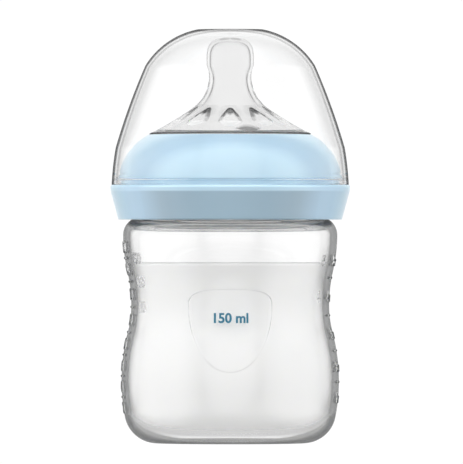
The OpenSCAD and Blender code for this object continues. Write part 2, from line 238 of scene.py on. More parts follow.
def clearMaterial(name, ior, roughness, tintStops, edgeStops, edgeColour, tintDepth):
    # a clear wall: refracts and reflects. Painted shade: its tint greys and a share of dark Diffuse grows
    # where the eye looks along it, which is a look and not optics. Only the first walls on the way in darken,
    # so the far side keeps bright; light on its way to what is inside, and light caught in the wall for long,
    # passes straight through. Marks too fine to read by refraction alone get painted shade, or a painted
    # highlight where the value kept on the mesh is negative
    material, tree = newMaterial(name)
    ray = addNode(tree, "ShaderNodeLightPath")
    near = addNode(tree, "ShaderNodeMath", {"operation": "LESS_THAN", 1: tintDepth - 0.5},
                   {0: ray.outputs["Ray Depth"]})
    facing = addNode(tree, "ShaderNodeLayerWeight", {"Blend": 0.5})
    along = addNode(tree, "ShaderNodeMath", {"operation": "MULTIPLY"},
                    {0: facing.outputs["Facing"], 1: near.outputs["Value"]})
    # painted shade: the wall's colour greys toward grazing angles
    tint = rampNode(tree, along.outputs["Value"], tintStops)
    body = addNode(tree, "ShaderNodeBsdfPrincipled", {
        "Roughness": roughness, "IOR": ior, "Transmission Weight": 1.0},
        {"Base Color": tint.outputs["Color"]})
    where = addNode(tree, "ShaderNodeTexCoord")
    lean = addNode(tree, "ShaderNodeSeparateXYZ", None, {"Vector": where.outputs["Normal"]})
    level = addNode(tree, "ShaderNodeMapRange", {
        "From Min": wallShade["levelFrom"], "From Max": wallShade["levelTo"],
        "To Min": 1.0, "To Max": wallShade["levelShare"]}, {"Value": lean.outputs["Z"]})
    upright = addNode(tree, "ShaderNodeMath", {"operation": "MULTIPLY"},
                      {0: along.outputs["Value"], 1: level.outputs["Result"]})
    # painted shade: the share of dark Diffuse that outlines the wall
    edge = rampNode(tree, upright.outputs["Value"], edgeStops, "LINEAR")
    # painted shade or painted highlight for marks, from the value kept on the mesh
    moulded = addNode(tree, "ShaderNodeAttribute", {"attribute_name": "moulded"})
    front = addNode(tree, "ShaderNodeMath", {"operation": "LESS_THAN", 1: wallShade["reliefDepth"]},
                    {0: ray.outputs["Ray Depth"]})
    amount = addNode(tree, "ShaderNodeMath", {"operation": "ABSOLUTE"}, {0: moulded.outputs["Fac"]})
    slant = addNode(tree, "ShaderNodeMapRange", {
        "To Min": wallShade["reliefFacing"], "To Max": wallShade["reliefAslant"]},
        {"Value": facing.outputs["Facing"]})
    outermost = addNode(tree, "ShaderNodeMath", {"operation": "MULTIPLY"},
                        {0: slant.outputs["Result"], 1: front.outputs["Value"]})
    shown = addNode(tree, "ShaderNodeMath", {"operation": "MULTIPLY"},
                    {0: amount.outputs["Value"], 1: outermost.outputs["Value"]})
    fine = addNode(tree, "ShaderNodeMath", {"operation": "ADD", "use_clamp": True},
                   {0: shown.outputs["Value"], 1: edge.outputs["Color"]})
    bright = addNode(tree, "ShaderNodeMath", {"operation": "LESS_THAN", 1: -0.01},
                     {0: moulded.outputs["Fac"]})
    # the painted shade's colour, or the painted highlight's colour where the mesh value is negative
    shade = addNode(tree, "ShaderNodeMix", {
        "data_type": "RGBA", 6: linear(edgeColour), 7: linear(wallShade["paintedHighlight"])},
        {0: bright.outputs["Value"]})
    dark = addNode(tree, "ShaderNodeBsdfDiffuse", None, {"Color": shade.outputs[2]})
    rimmed = addNode(tree, "ShaderNodeMixShader", None, {
        0: fine.outputs["Value"], 1: body.outputs["BSDF"], 2: dark.outputs["BSDF"]})
    passed = wallShade["passed"]
    through = addNode(tree, "ShaderNodeBsdfTransparent", {"Color": (passed, passed, passed, 1)})
    caught = addNode(tree, "ShaderNodeMath", {"operation": "GREATER_THAN", 1: wallShade["caughtDepth"]},
                     {0: ray.outputs["Ray Depth"]})
    lighting = addNode(tree, "ShaderNodeMath", {"operation": "MAXIMUM"},
                       {0: ray.outputs["Is Shadow Ray"], 1: ray.outputs["Is Diffuse Ray"]})
    straight = addNode(tree, "ShaderNodeMath", {"operation": "MAXIMUM"},
                       {0: lighting.outputs["Value"], 1: caught.outputs["Value"]})
    mix = addNode(tree, "ShaderNodeMixShader", None, {
        0: straight.outputs["Value"], 1: rimmed.outputs["Shader"], 2: through.outputs["BSDF"]})
    addNode(tree, "ShaderNodeOutputMaterial", None, {"Surface": mix.outputs["Shader"]})
    return material


# each clear wall: its tint ramp, then the painted dark share by grazing angle and the colour of that painted
# shade
# borosilicate glass, blown into a mould: fire-polished, so quite sharp reflections
glass = clearMaterial("borosilicateGlass", 1.5, 0.01,
                      [(0.0, "#fbfbfb"), (0.4, "#f8f8f8"), (0.62, "#ececec"), (1.0, "#e4e5e5")],
                      [(0.0, 0), (0.3, 0.0), (0.46, 0.03), (0.62, 0.12), (0.655, 0.36), (0.7, 0.5),
                       (0.735, 0.6),
                       (0.78, 0.7), (1.0, 0.76)],
                      "#505253", 1)
# clear polypropylene, injection moulded: a touch softer than glass
clearPp = clearMaterial("clearPolypropylene", 1.3, 0.01,
                        [(0.0, "#ffffff"), (0.7, "#fcfcfc"), (1.0, "#eeeeee")],
                        [(0.0, 0), (0.67, 0.0), (0.70, 0.32), (0.735, 0.34), (0.75, 0.06), (0.77, 0.14),
                         (0.82, 0.8), (1.0, 0.92)],
                        "#242526", 1)
# liquid silicone rubber, moulded and frosted a little by its own softness
silicone = clearMaterial("liquidSilicone", 1.15, 0.02,
                         [(0.0, "#fdfdfd"), (0.6, "#ffffff"), (1.0, "#e8e8e8")],
                         [(0.0, 0), (0.88, 0.0), (0.97, 0.25), (1.0, 0.3)], "#303132", 3)


def ringMaterial():
    # polypropylene with pigment, moulded with a fine satin texture: even colour, broad soft highlights.
    # Painted
    # shade: faces that look downward are mixed toward a darker blue, by a share ("depth") that follows Layer
    # Weight; painted sheen: a paler blue ("aslant") shows seen at a slant. Both shift with the view, which
    # real plastic doesn't do. Painted light: the core side, that faces the axis, is mixed toward a pale grey
    material, tree = newMaterial("satinBluePolypropylene")
    where = addNode(tree, "ShaderNodeTexCoord")
    # grain of 0.4 mm
    grain = addNode(tree, "ShaderNodeTexNoise", {"Scale": 2600.0, "Detail": 2.0},
                    {"Vector": where.outputs["Object"]})
    bump = addNode(tree, "ShaderNodeBump", {"Strength": 0.05, "Distance": 0.05 * mm},
                   {"Height": grain.outputs["Fac"]})
    cloud = addNode(tree, "ShaderNodeTexNoise", {"Scale": 90.0}, {"Vector": where.outputs["Object"]})
    colour = rampNode(tree, cloud.outputs["Fac"], [(0.3, "#c2e1f3"), (0.7, "#c6e5f6")], "LINEAR")
    lean = addNode(tree, "ShaderNodeSeparateXYZ", None, {"Vector": where.outputs["Normal"]})
    # painted shade: downward-facing surfaces take the darker blue
    under = addNode(tree, "ShaderNodeMapRange", {"From Min": -0.02, "From Max": -0.2},
                    {"Value": lean.outputs["Z"]})
    glance = addNode(tree, "ShaderNodeLayerWeight", {"Blend": 0.5})
    depth = rampNode(tree, glance.outputs["Facing"], [(0.0, 0.62), (0.18, 0.97), (0.36, 1), (0.56, 0.1)],
                     "LINEAR")
    share = addNode(tree, "ShaderNodeMath", {"operation": "MULTIPLY"},
                    {0: under.outputs["Result"], 1: depth.outputs["Color"]})
    shaded = addNode(tree, "ShaderNodeMix", {"data_type": "RGBA", 7: linear("#8ca5b5")},
                     {0: share.outputs["Value"], 6: colour.outputs["Color"]})
    # painted sheen: a paler blue at mid-grazing angles
    aslant = rampNode(tree, glance.outputs["Facing"],
                      [(0.0, 0), (0.22, 0), (0.38, 0.7), (0.54, 0.6), (0.68, 0)], "LINEAR")
    paintedSheen = addNode(tree, "ShaderNodeMix", {"data_type": "RGBA", 7: linear("#a2c4dc")},
                    {0: aslant.outputs["Color"], 6: shaded.outputs[2]})
    flat = addNode(tree, "ShaderNodeVectorMath", {"operation": "MULTIPLY", 1: (1, 1, 0)},
                   {0: where.outputs["Object"]})
    outward = addNode(tree, "ShaderNodeVectorMath", {"operation": "NORMALIZE"}, {0: flat.outputs["Vector"]})
    tilted = addNode(tree, "ShaderNodeVectorMath", {"operation": "ADD", 1: (0, 0, 0.35)},
                     {0: outward.outputs["Vector"]})
    facing = addNode(tree, "ShaderNodeVectorMath", {"operation": "DOT_PRODUCT"},
                     {0: where.outputs["Normal"], 1: tilted.outputs["Vector"]})
    # painted light: surfaces that face the axis or the floor are paled, to lift the shade there
    core = addNode(tree, "ShaderNodeMapRange", {"From Min": 0.05, "From Max": -0.2},
                   {"Value": facing.outputs["Value"]})
    skin = addNode(tree, "ShaderNodeMix", {"data_type": "RGBA", 7: linear("#e6e9ea")},
                   {0: core.outputs["Result"], 6: paintedSheen.outputs[2]})
    body = addNode(tree, "ShaderNodeBsdfPrincipled", {
        "Roughness": 0.34, "IOR": 1.49, "Coat Weight": 0.7, "Coat Roughness": 0.3, "Subsurface Weight": 0.15,
        "Subsurface Radius": (0.001, 0.0015, 0.002), "Subsurface Scale": 1.0},
        {"Base Color": skin.outputs[2], "Normal": bump.outputs["Normal"]})
    addNode(tree, "ShaderNodeOutputMaterial", None, {"Surface": body.outputs["BSDF"]})
    return material


def milkMaterial():
    # whole milk: fat droplets scatter all light, so it is white, soft and slightly warm with a wet gloss
    material, tree = newMaterial("wholeMilk")
    where = addNode(tree, "ShaderNodeTexCoord")
    cloud = addNode(tree, "ShaderNodeTexNoise", {"Scale": 60.0}, {"Vector": where.outputs["Object"]})
    colour = rampNode(tree, cloud.outputs["Fac"], [(0.3, "#f6f7f6"), (0.7, "#fafaf9")], "LINEAR")
    body = addNode(tree, "ShaderNodeBsdfPrincipled", {
        "Roughness": 0.5, "IOR": 1.35, "Subsurface Weight": 0.3, "Subsurface Radius": (0.004, 0.004, 0.0035),
        "Subsurface Scale": 1.0}, {"Base Color": colour.outputs["Color"]})
    addNode(tree, "ShaderNodeOutputMaterial", None, {"Surface": body.outputs["BSDF"]})
    return material


def printMaterial():
    # ceramic print ink, fired on: dense, slightly glossy teal
    material, tree = newMaterial("tealPrint")
    where = addNode(tree, "ShaderNodeTexCoord")
    speck = addNode(tree, "ShaderNodeTexNoise", {"Scale": 3000.0}, {"Vector": where.outputs["Object"]})
    colour = rampNode(tree, speck.outputs["Fac"], [(0.3, "#006480"), (0.7, "#046e8a")], "LINEAR")
    body = addNode(tree, "ShaderNodeBsdfPrincipled", {"Roughness": 0.3},
                   {"Base Color": colour.outputs["Color"]})
    addNode(tree, "ShaderNodeOutputMaterial", None, {"Surface": body.outputs["BSDF"]})
    return material


bluePp = ringMaterial()
milkWhite = milkMaterial()
tealPrint = printMaterial()
print("materials made")


bottle = {
    "bulgeR": 33.5, "bulgeZ": 19.2, "waistR": 30.5, "waistZ": 42.3, "shoulderR": 33.0, "shoulderZ": 64.2,
    "shoulderEdge": 5.5, "heelR": 10.0, "heelInset": 2.0, "lowerArc": 58.5, "wall": 2.1, "baseT": 3.4,
    "pushup": 0.8,
    "neckR": 26.6, "neckWall": 2.2, "neckH": 20.8, "neckFillet": 0.8, "rimRound": 0.9, "mouthRound": 2.0,
    "beadRise": 3.0, "beadProud": 1.0, "padHalfW": 12.5, "padZ": 42.6, "padUp": 5.0, "padDown": 20.4,
    "padStep": 0.5, "padEdge": 0.6, "padRaise": 0.14, "markProud": 0.3,
    "threadPitch": 6.0, "threadDepth": 1.4, "threadTurns": 1.25, "threadRoot": 3.0, "threadCrest": 1.5,
    "threadFromRim": 4.0,
}
shoulderEdge = min(bottle["shoulderEdge"], bottle["shoulderR"] - bottle["neckR"] - bottle["neckFillet"])
shoulderTop = bottle["shoulderZ"] + shoulderEdge
rimZ = shoulderTop + bottle["neckH"]
neckInR = bottle["neckR"] - bottle["neckWall"]
crestR = bottle["neckR"] + bottle["threadDepth"]
threadFoot = rimZ - bottle["threadFromRim"] - bottle["threadPitch"] * bottle["threadTurns"]


def bodySide(inset, heelZ, heelR):
    b = bottle
    big = (b["bulgeR"] - b["lowerArc"], b["bulgeZ"])
    reach = b["lowerArc"] - inset - heelR
    heel = (big[0] + math.sqrt(reach ** 2 - (b["bulgeZ"] - heelZ) ** 2), heelZ)
    turn = math.degrees(math.asin((b["bulgeZ"] - heelZ) / reach))
    waist, bulge = (b["waistR"], b["waistZ"]), (b["bulgeR"], b["bulgeZ"])
    shoulder = (b["shoulderR"], b["shoulderZ"])
    heelPart = arc(heel, heelR, -90, -turn, 40)
    side = (arc(big, b["lowerArc"] - inset, -turn, 0, 30)
            + narrowing(bulge, waist, 0.34, inset, 30)[1:]
            + widening(waist, shoulder, 0.5, inset, 30)[1:])
    top = arc((shoulder[0] - shoulderEdge, shoulder[1]), shoulderEdge - inset, 0, 90, 30)
    return heelPart, side, top


def radiusAt(line, z):
    p = np.array(line)
    return np.interp(z, p[:, 1], p[:, 0])


def bow(x, y, rx, ry, startDeg, endDeg, steps=12):
    return [(x + rx * c, y + ry * s) for c, s in arc((0, 0), 1, startDeg, endDeg, steps)]


# single-stroke numerals and letters, one unit tall
strokes = {
    "0": [bow(.3, .5, .3, .5, 0, 360, 20)],
    "1": [[(.1, .76), (.34, 1), (.34, 0)]],
    "2": [bow(.3, .7, .28, .3, 165, -35) + [(0, 0), (.6, 0)]],
    "3": [bow(.28, .76, .25, .24, 150, -90) + bow(.28, .26, .3, .26, 90, -150)],
    "4": [[(.45, 0), (.45, 1), (0, .3), (.6, .3)]],
    "5": [[(.54, 1), (.1, 1), (.06, .55)] + bow(.27, .32, .31, .32, 130, -150)],
    "6": [bow(.3, .3, .29, .3, 0, 360, 16), bow(.62, .3, .61, .7, 180, 110, 8)],
    "7": [[(0, 1), (.6, 1), (.2, 0)]],
    "8": [bow(.3, .76, .22, .24, 0, 360, 16), bow(.3, .27, .29, .27, 0, 360, 16)],
    "9": [bow(.3, .7, .29, .3, 0, 360, 16), bow(-.02, .7, .61, .7, 0, -70, 8)],
    "m": [[(0, 0), (0, .6)], bow(.16, .4, .16, .2, 180, 0, 6) + [(.32, 0)],
          bow(.48, .4, .16, .2, 180, 0, 6) + [(.64, 0)]],
    "l": [[(.1, 0), (.1, 1)]],
    "o": [bow(.25, .3, .25, .3, 0, 360, 16)],
    "z": [[(0, .6), (.45, .6), (0, 0), (.45, 0)]],
}
glyphWide = {"1": .55, "m": .9, "l": .4, "o": .72, "z": .65}


def strokeDistance(u, v, text, height):
    # distance in millimetres from points (u, v) to the strokes of a centred word
    wide = sum(glyphWide.get(c, .85) for c in text) * height
    pen, best = -wide / 2, np.full(np.broadcast(u, v).shape, 99.0)
    for c in text:
        for line in strokes[c]:
            pts = np.array(line) * height + (pen, -height / 2)
            for (x0, y0), (x1, y1) in zip(pts, pts[1:]):
                dx, dy = x1 - x0, y1 - y0
                t = np.clip(((u - x0) * dx + (v - y0) * dy) / (dx * dx + dy * dy + 1e-9), 0, 1)
                best = np.minimum(best, np.hypot(u - x0 - t * dx, v - y0 - t * dy))
        pen += glyphWide.get(c, .85) * height
    return best


hollowHeelR = bottle["heelR"] - bottle["heelInset"]
hollowHeelZ = bottle["baseT"] + hollowHeelR
hollowHeel, hollowSide, hollowTop = bodySide(bottle["wall"], hollowHeelZ, hollowHeelR)
hollowLine = [(0, bottle["baseT"])] + hollowHeel + hollowSide[1:] + hollowTop[1:]


def levelOf(millilitres):
    # height of the surface of that much milk, from the hollow's own volume
    p = np.array(hollowLine)
    part = math.pi / 3000 * np.diff(p[:, 1]) * (p[:-1, 0] ** 2 + p[:-1, 0] * p[1:, 0] + p[1:, 0] ** 2)
    return float(np.interp(millilitres, np.r_[0, np.cumsum(part)], p[:, 1]))


ounce = 29.57
markStroke = 0.26       # half the width of a moulded stroke
marks = []              # angle round the bottle, height, numeral or bar, size
for ml in range(20, 161, 20):
    marks.append((187, levelOf(ml), str(ml), 3.0))
for ml in range(30, 151, 20):
    marks.append((185, levelOf(ml), "bar", 4.0))
for ml in range(110, 151, 20):
    marks.append((208, levelOf(ml), str(ml), 2.6))
for half in range(2, 11):
    marks.append((-7, levelOf(half * ounce / 2), "bar" if half % 2 else str(half // 2) + "oz", 2.8))
for ounces in range(4, 6):
    marks.append((-27, levelOf(ounces * ounce), str(ounces), 2.6))


def markRelief(theta, r, z):
    out = np.zeros(np.broadcast(theta, r).shape)
    for side, height, kind, size in marks:
        turn = (theta - math.radians(side) + math.pi) % (2 * math.pi) - math.pi
        rows = np.abs(z[:, 0] - height) < size
        cols = np.abs(turn[0]) < math.radians(11)
        if not rows.any():
            continue
        u, v = turn[:, cols] * r[rows], z[rows] - height
        if kind == "bar":
            far = np.hypot(np.maximum(np.abs(u) - size / 2, 0), v)
        else:
            far = strokeDistance(u, v, kind, size)
        height = bottle["markProud"] * (1 - smoothStep(markStroke * 0.4, markStroke * 1.6, far))
        grid = np.ix_(np.where(rows)[0], np.where(cols)[0])
        out[grid] = np.maximum(out[grid], height)
    return out


outerHeel, outerSide, outerTop = bodySide(0, bottle["heelR"], bottle["heelR"])
padTopR = radiusAt(outerSide, bottle["padZ"] + bottle["padUp"]) + bottle["padStep"]
padFootR = radiusAt(outerSide, bottle["padZ"] - bottle["padDown"]) + 0.05


def padEdgeShare(theta, r, z):
    # 0 outside the pad, 1 on it, with a soft step at its outline
    b = bottle
    turn = (theta + math.pi / 2 + math.pi) % (2 * math.pi) - math.pi
    x = r * np.sin(turn) / b["padHalfW"]
    high = z > b["padZ"]
    y = np.where(high, (z - b["padZ"]) / b["padUp"], (z - b["padZ"]) / b["padDown"])
    power = np.where(high, 3.0, 2.1)
    f = (np.abs(x) ** power + np.abs(y) ** power) ** (1 / power)
    reach = np.where(high, b["padUp"], b["padDown"])
    slope = np.hypot(x / b["padHalfW"], y / reach) / np.maximum(f, 1e-3)
    inside = (1 - f) / np.maximum(slope, 1e-3)
    return smoothStep(-b["padEdge"] / 2, b["padEdge"] / 2, inside) * (np.abs(turn) < 0.6)


def padR(z):
    # the pad is part of a cone, so that the print on it lies flat
    b = bottle
    return padFootR + (padTopR - padFootR) * (z - b["padZ"] + b["padDown"]) / (b["padUp"] + b["padDown"])


def padRelief(theta, r, z):
    return np.maximum(padR(z) - r, bottle["padRaise"]) * padEdgeShare(theta, r, z)


def threadRelief(theta, r, z, foot, fromDeg, turns, rootW, crestW, depth):
    out = np.zeros(np.broadcast(theta, r).shape)
    for lap in range(3):
        a = np.degrees(theta % (2 * math.pi)) + 360 * lap
        centre = foot + bottle["threadPitch"] * a / 360
        run = smoothStep(0, 18, np.minimum(a - fromDeg, fromDeg + 360 * turns - a))
        flank = np.clip((rootW / 2 - np.abs(z - centre)) / ((rootW - crestW) / 2), 0, 1)
        out = np.maximum(out, depth * run * smoothStep(-0.05, 1.05, flank))
    return out


def bottleRelief(theta, r, z, normal):
    onSide = (normal[:, :1] > 0.7) & (z > 3) & (z < bottle["shoulderZ"] + 2)
    onNeck = (normal[:, :1] > 0.9) & (z > shoulderTop + 2)
    b = bottle
    thread = threadRelief(theta, r, z, threadFoot, 0, b["threadTurns"], b["threadRoot"], b["threadCrest"],
                          b["threadDepth"])
    out = np.where(onSide, padRelief(theta, r, z) + markRelief(theta, r, z), 0)
    return out + np.where(onNeck, thread, 0)


# painted shade: how dark the marks on the sides, those nearer the front and the pad's outline are painted
markShade = {"sideCos": 0.948, "side": 0.95, "front": 0.2, "padRim": 0.55}


# painted shade on the glass, kept on the mesh: dark strokes on the marks, darkest at the sides, and a dark
# line round the pad's outline
def mouldedMask(theta, r, z, normal):
    share = np.where(np.abs(np.cos(theta)) > markShade["sideCos"], markShade["side"], markShade["front"])
    edge = padEdgeShare(theta, r, z)
    rim = markShade["padRim"] * edge * (1 - edge) * (z > 3)
    return np.where(normal[:, :1] > 0.7, share * smoothStep(0.05, 0.25, markRelief(theta, r, z)) + rim, 0)


def bottleAngles():
    # fine columns over the moulded numerals and the pad, wider ones elsewhere
    step = np.full(3600, 1.6)
    at = np.arange(3600) / 10
    # where each fine stretch lies in degrees, how far it reaches to each side, and its step
    stretches = ((350, 14, 0.3), (190, 14, 0.28), (208, 9, 0.28), (333, 8, 0.3), (270, 26, 0.6))
    for side, reach, fine in stretches:
        away = np.abs((at - side + 180) % 360 - 180)
        step = np.minimum(step, fine + np.clip(away - reach, 0, None) * 0.3)
    count = np.cumsum(0.1 / step)
    n = int(count[-1])
    return np.interp(np.arange(n) * count[-1] / n, np.r_[0, count], np.r_[at, 360.0])


neckR, bead, beadR = bottle["neckR"], shoulderTop + bottle["beadRise"], bottle["neckR"] + bottle["beadProud"]
rimRound, mouthRound, fillet = bottle["rimRound"], bottle["mouthRound"], bottle["neckFillet"]
mouthZ = shoulderTop - bottle["wall"] + mouthRound
pushup = bottle["pushup"]
bottleOutline = np.concatenate([
    spaced([(0, pushup), (9, pushup * 0.85), (14, pushup * 0.5), (17, 0.12), (18.4, 0)], 1.0)[:-1],
    spaced([(18.4, 0)] + outerHeel, 0.5)[:-1],
    spaced(outerSide, 0.17)[:-1],
    spaced(outerTop, 0.3)[:-1],
    spaced([outerTop[-1]] + arc((neckR + fillet, shoulderTop + fillet), fillet, 270, 180, 8)
           + softCorners([(neckR, bead - 1.4), (neckR, bead - 0.8), (beadR, bead - 0.3), (beadR, bead + 0.3),
                          (neckR, bead + 0.8), (neckR, bead + 1.5)], 0.25), 0.22)[:-1],
    spaced([(neckR, bead + 1.5), (neckR, rimZ - rimRound)], 0.22)[:-1],
    spaced(arc((neckR - rimRound, rimZ - rimRound), rimRound, 0, 90, 12)
           + arc((neckInR + rimRound, rimZ - rimRound), rimRound, 90, 180, 12), 0.2)[:-1],
    spaced([(neckInR, rimZ - rimRound), (neckInR, mouthZ)], 0.9)[:-1],
    spaced(arc((neckInR + mouthRound, mouthZ), mouthRound, 180, 270, 12) + hollowTop[::-1], 0.35)[:-1],
    spaced(hollowSide[::-1], 0.8)[:-1],
    spaced(hollowHeel[::-1], 0.5)[:-1],
    spaced([hollowHeel[0], (0, bottle["baseT"])], 1.2),
])
glassPiece = spin("glassBody", bottleOutline, bottleAngles(), glass, bottleRelief, mask=mouldedMask)
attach(glassPiece, "bottle")
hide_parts("glass_bottle")
print("glass bottle made:", len(glassPiece.data.polygons), "faces")


milk = {"millilitres": 146, "gap": 0.05, "meniscus": 0.6}
milkTop = levelOf(milk["millilitres"])
heelPart, sidePart, _ = bodySide(bottle["wall"] + milk["gap"], hollowHeelZ, hollowHeelR - milk["gap"])
wetSide = [p for p in sidePart if p[1] < milkTop - 0.3]
edgeR = float(radiusAt(sidePart, milkTop))
milkLine = np.concatenate([
    spaced([(0, bottle["baseT"] + milk["gap"])] + heelPart, 0.8)[:-1],
    spaced(wetSide + [(edgeR, milkTop - 0.02)], 0.8)[:-1],
    spaced([(edgeR, milkTop - 0.02), (edgeR - 0.15, milkTop), (edgeR - 0.6, milkTop - 0.25),
            (edgeR - 1.4, milkTop - milk["meniscus"] * 0.8), (edgeR - 2.6, milkTop - milk["meniscus"]),
            (0, milkTop - milk["meniscus"])], 0.25),
])
milkPiece = spin("milkFill", milkLine, evenAngles(192), milkWhite)
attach(milkPiece, "bottle")
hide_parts("milk")
print("milk made, surface at", round(milkTop, 2), "mm")


ring = {"r": 36.95, "bandH": 10.7, "taper": 2.5, "wall": 1.7, "ledgeW": 2.5, "lipR": 23.6, "lipT": 2.55,
        "grooveH": 1.6, "grooveD": 0.9, "domeArc": 17.2, "lipCorner": 1.1, "footDrop": 0.8,
        "threadClear": 0.45, "nutClear": 0.25, "nutFrom": 60, "nutTurns": 0.85, "nutRoot": 2.4,
        "nutCrest": 1.2}
teat = {"flangeT": 1.9, "wall": 1.6, "slope": 25.5, "headR": 7.3, "neckR": 6.55, "flareR": 12.0,
        "nippleH": 12.4,
        "coneArc": 90.0, "petals": 9, "petalDepth": 0.4, "holeR": 0.4, "tipT": 1.2, "headPower": 3.0,
        "boreDrop": 1.4, "headDrop": 0.6}
# what is left between pieces that touch
touch = 0.05
flangeZ = rimZ + touch
lipZ = flangeZ + teat["flangeT"] + touch
lipTop = lipZ + ring["lipT"]
grooveR = ring["lipR"] - 0.3
skirtR = ring["lipR"] + 1.3
skirtZ = lipTop + touch
skirtEdge = 0.25
flangeR = neckR + 0.6
plugR = neckInR - 0.3
slope = math.radians(teat["slope"])
coneCentre = (skirtR + teat["coneArc"] * math.sin(slope),
              skirtZ + skirtEdge + teat["coneArc"] * math.cos(slope))
flareDrop = math.sqrt((teat["coneArc"] - teat["flareR"]) ** 2
                      - (coneCentre[0] - teat["neckR"] - teat["flareR"]) ** 2)
flareCentre = (teat["neckR"] + teat["flareR"], coneCentre[1] - flareDrop)
flareTurn = math.degrees(math.atan((coneCentre[0] - flareCentre[0]) / (coneCentre[1] - flareCentre[1])))
nippleTop = flareCentre[1] + teat["nippleH"]
headZ = nippleTop - teat["headR"]
coneInnerR = grooveR - 2.1
boreR = teat["neckR"] - teat["wall"]


def crown(wide, tall, z, power, steps, holeR):
    # quarter of a rounded square, from the milk hole out to the widest point
    out = []
    for t in np.radians(np.linspace(90, 0, steps + 1)):
        r = wide * math.cos(t) ** (2 / power)
        if r > holeR:
            out.append((r, z + tall * math.sin(t) ** (2 / power)))
    return [(holeR, z + tall * (1 - (holeR / wide) ** power) ** (1 / power))] + out


edgeTurn = math.degrees(math.asin((coneCentre[0] - coneInnerR) / (teat["coneArc"] + teat["wall"])))
innerHeadR = teat["headR"] - teat["tipT"]
teatOutside = (crown(teat["headR"], nippleTop - headZ, headZ, teat["headPower"], 60, teat["holeR"])
               + widening((teat["neckR"], flareCentre[1]), (teat["headR"], headZ), 0.5, 0, 12)[::-1][1:]
               + arc(flareCentre, teat["flareR"], 180, 270 - flareTurn, 30)[1:]
               + arc(coneCentre, teat["coneArc"], 270 - flareTurn, 270 - teat["slope"], 30)[1:])
teatInside = (crown(innerHeadR, nippleTop - teat["tipT"] - headZ, headZ, teat["headPower"], 60, teat["holeR"])
              + widening((boreR + 0.08, flareCentre[1] - teat["boreDrop"]),
                         (innerHeadR, headZ - teat["headDrop"]), 0.5, 0, 16)[::-1]
              + arc(flareCentre, teat["flareR"] + teat["wall"], 186, 270 - flareTurn, 30)[1:]
              + arc(coneCentre, teat["coneArc"] + teat["wall"], 270 - flareTurn, 270 - edgeTurn, 30)[1:])
petal = {"from": 10.7, "to": 15.2, "tipR": 1.2, "roundR": 3.5, "steep": 0.7, "gentle": 2.6}
vent = {"angle": -75.0, "half": 10.5, "r0": 19.6, "r1": 23.4, "depth": 0.55}


def petalShape(theta, r):
    # teardrops between two circles: distance from their edge, and how far down from the narrow end
    pitch = 2 * math.pi / teat["petals"]
    turn = (theta + math.pi / 2 + pitch / 2) % pitch - pitch / 2
    x, y = r * np.cos(turn) - petal["from"], np.abs(r * np.sin(turn))
    length, grow = petal["to"] - petal["from"], petal["roundR"] - petal["tipR"]
    t = np.clip((x + y * grow / math.sqrt(length ** 2 - grow ** 2)) / length, 0, 1)
    far = np.hypot(x - t * length, y) - (petal["tipR"] + grow * t)
    return far, t + np.clip(x / length - 1, 0, 1)


def petalRelief(theta, r):
    # the wall drops steeply at the narrow end and softly at the round one
    far, down = petalShape(theta, r)
    soft = petal["steep"] + (petal["gentle"] - petal["steep"]) * smoothStep(0.3, 1.6, down)
    return teat["petalDepth"] * smoothStep(0.15, -soft, far)


def ventRelief(theta, r):
    turn = np.degrees((theta - math.radians(vent["angle"]) + math.pi) % (2 * math.pi) - math.pi)
    mid, halfW = (vent["r0"] + vent["r1"]) / 2, (vent["r1"] - vent["r0"]) / 2
    edge = halfW * np.cos(np.clip(turn / vent["half"], -1, 1) * math.pi / 2) - np.abs(r - mid)
    return vent["depth"] * smoothStep(-0.15, 0.35, edge) * (np.abs(turn) < vent["half"])


def teatSides(r, z, normal):
    inner = (normal[:, 1:] < -0.2) & (z > skirtZ - 1) & (r > 8.5) & (r < coneInnerR + 1)
    outer = (normal[:, 1:] > 0.4) & (r > 18) & (z > skirtZ)
    return inner, outer


def teatRelief(theta, r, z, normal):
    # petals are pressed into the wall from inside, the air vent from outside
    inner, outer = teatSides(r, z, normal)
    return np.where(inner, -petalRelief(theta, r), 0) + np.where(outer, -ventRelief(theta, r), 0)


# painted shade: how dark the petals' flanks, narrow ends and surround and the vent are painted, and the
# painted shadow line at the foot of the skirt; and how bright the painted highlight on the petals' lower lips
# is
teatShade = {"legs": 1.0, "apex": 1.15, "halo": 0.2, "lip": 0.8, "vent": 0.7, "foot": 0.9}


def teatMask(theta, r, z, normal):
    inner, outer = teatSides(r, z, normal)
    far, down = petalShape(theta, r)
    shade = teatShade
    legs = shade["legs"] * smoothStep(-1.6, -0.6, far) * smoothStep(0.3, -0.1, far) * smoothStep(1.2, 0.75,
                                                                                                 down)
    steep = np.maximum(legs, shade["apex"] * smoothStep(0.2, -0.1, far) * smoothStep(0.62, 0.25, down))
    halo = shade["halo"] * smoothStep(3.0, 0.3, far) * smoothStep(0.0, 0.3, far) * smoothStep(1.2, 0.4, down)
    # painted highlight on each petal's lower lip, kept as a negative value
    lip = shade["lip"] * smoothStep(1.0, 1.15, down) * smoothStep(-0.2, -0.6, far)
    steep = np.where(lip > 0.02, -lip, np.maximum(steep, halo))
    # painted shadow where the skirt's foot meets the ring
    foot = (np.abs(r - skirtR) < 0.8) & (z > skirtZ - 0.05) & (z < skirtZ + 0.5)
    return (np.where(inner, steep, 0) + np.where(outer, shade["vent"] * ventRelief(theta, r) / vent["depth"],
                                                 0)
            + np.where(foot, shade["foot"], 0) + 0 * theta)


